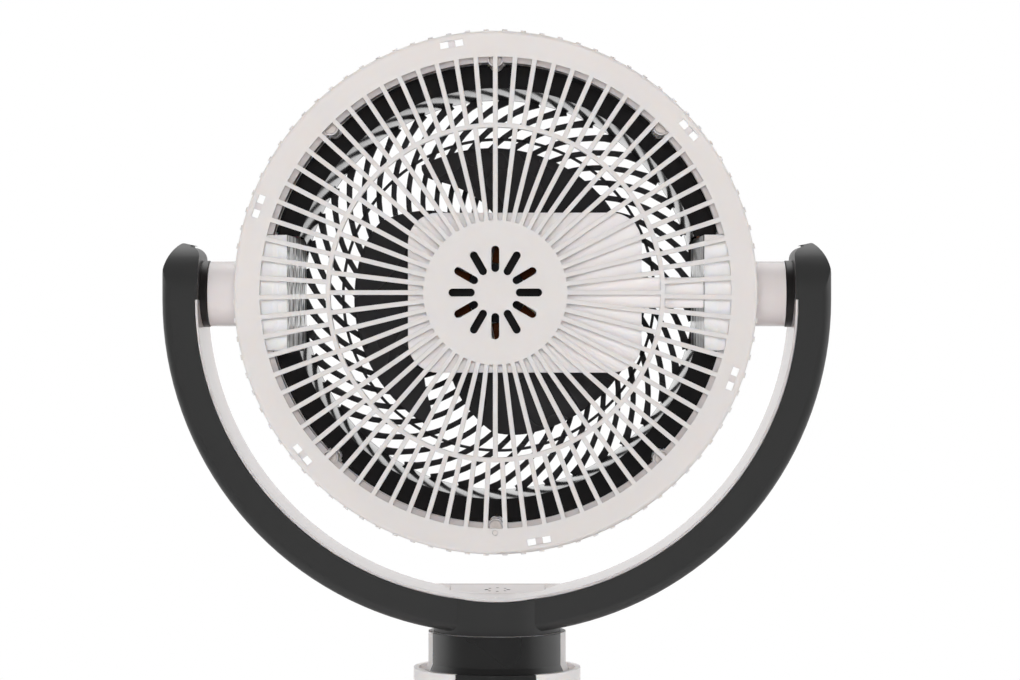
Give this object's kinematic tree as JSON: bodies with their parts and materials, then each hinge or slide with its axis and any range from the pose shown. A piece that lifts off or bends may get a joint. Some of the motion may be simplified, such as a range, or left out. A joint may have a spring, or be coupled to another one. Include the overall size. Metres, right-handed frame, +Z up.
{
  "type": "air circulator fan",
  "caption": "Table-top air circulator: round caged head with a spiral outlet grille, tilting in a U-shaped yoke on a swivelling neck and weighted round base.",
  "frame": {"origin": "on the floor, under the swing axis, at the bottom centre of the bounding box", "axes": "+Z up, +Y the way the air leaves with the head level, +X to the right seen from behind"},
  "size_m": [0.416, 0.26, 0.4809],
  "materials": {
    "light_plastic": "fine satin moulded plastic",
    "dark_plastic": "fine satin moulded plastic",
    "black_plastic": "glossy moulded plastic",
    "panel_plastic": "glossy moulded plastic",
    "bearing_plastic": "low-friction moulded plastic",
    "steel": "plain steel",
    "zinc": "yellowish zinc plate",
    "lamination": "stacked sheet",
    "magnet": "sintered ferrite",
    "copper": "enamelled wire",
    "circuit_board": "lacquered laminate",
    "weight_iron": "painted cast iron",
    "foot_rubber": "soft rubber"
  },
  "bodies": {
    "base": {"yaw_motor": "steel", "yaw_motor_screws": "zinc", "base_shell": "light_plastic", "column_ring": "light_plastic", "column_rear_panel": "dark_plastic", "power_jack": "black_plastic", "power_board": "circuit_board", "centre_post": "steel", "thrust_washer": "bearing_plastic", "post_clip": "steel", "base_weight": "weight_iron", "weight_screws": "zinc", "bottom_cover": "dark_plastic", "bottom_screws": "zinc", "feet": "foot_rubber"},
    "yoke": {"yoke_rear_shell": "dark_plastic", "yoke_front_shell": "light_plastic", "yoke_screw": "steel", "control_panel": "panel_plastic", "control_board": "circuit_board", "pivot_collar_left": "dark_plastic", "pivot_collar_right": "dark_plastic", "tilt_motor_shaft": "steel", "pivot_clip": "steel", "neck": "light_plastic", "neck_rear_cover": "dark_plastic", "neck_screws": "zinc", "yaw_gear": "bearing_plastic", "yaw_gear_screws": "zinc"},
    "pinion": {"yaw_pinion": "bearing_plastic", "yaw_motor_shaft": "steel"},
    "head": {"rear_grille": "light_plastic", "grille_lock_screw": "zinc", "barrel": "light_plastic", "barrel_screws": "zinc", "front_housing": "light_plastic", "duct": "black_plastic", "front_grille": "black_plastic", "side_cover_left": "light_plastic", "side_cover_right": "light_plastic", "motor_cover": "light_plastic", "motor_cover_screws": "zinc", "motor_housing": "light_plastic", "motor_housing_screws": "zinc", "stator_core": "lamination", "stator_coils": "copper", "motor_bearings": "steel", "motor_board": "circuit_board", "tilt_motor": "steel", "tilt_motor_bracket": "steel", "tilt_bracket_screws": "zinc", "tilt_bush_left": "bearing_plastic", "tilt_bush_right": "bearing_plastic"},
    "impeller": {"motor_rotor": "steel", "rotor_magnets": "magnet", "motor_shaft": "steel", "impeller": "black_plastic", "impeller_nut": "black_plastic"}
  },
  "joints": [
    {"name": "yaw", "type": "hinge", "parent": "base", "child": "yoke", "pos_m": [0, 0, 0.034], "axis": [0, 0, 1], "range_deg": [-60, 60]},
    {"name": "yaw_pinion", "type": "hinge", "parent": "base", "child": "pinion", "pos_m": [0, 0.0375, 0.034], "axis": [0, 0, 1], "range_deg": [-240, 240]},
    {"name": "head_tilt", "type": "hinge", "parent": "yoke", "child": "head", "pos_m": [0, 0, 0.32], "axis": [1, 0, 0], "range_deg": [-15, 90]},
    {"name": "impeller_spin", "type": "hinge", "parent": "head", "child": "impeller", "pos_m": [0, 0, 0.32], "axis": [0, 1, 0], "continuous": true}
  ],
  "couplings": [
    {"joint": "yaw_pinion", "follows": "yaw", "ratio": -4}
  ]
}
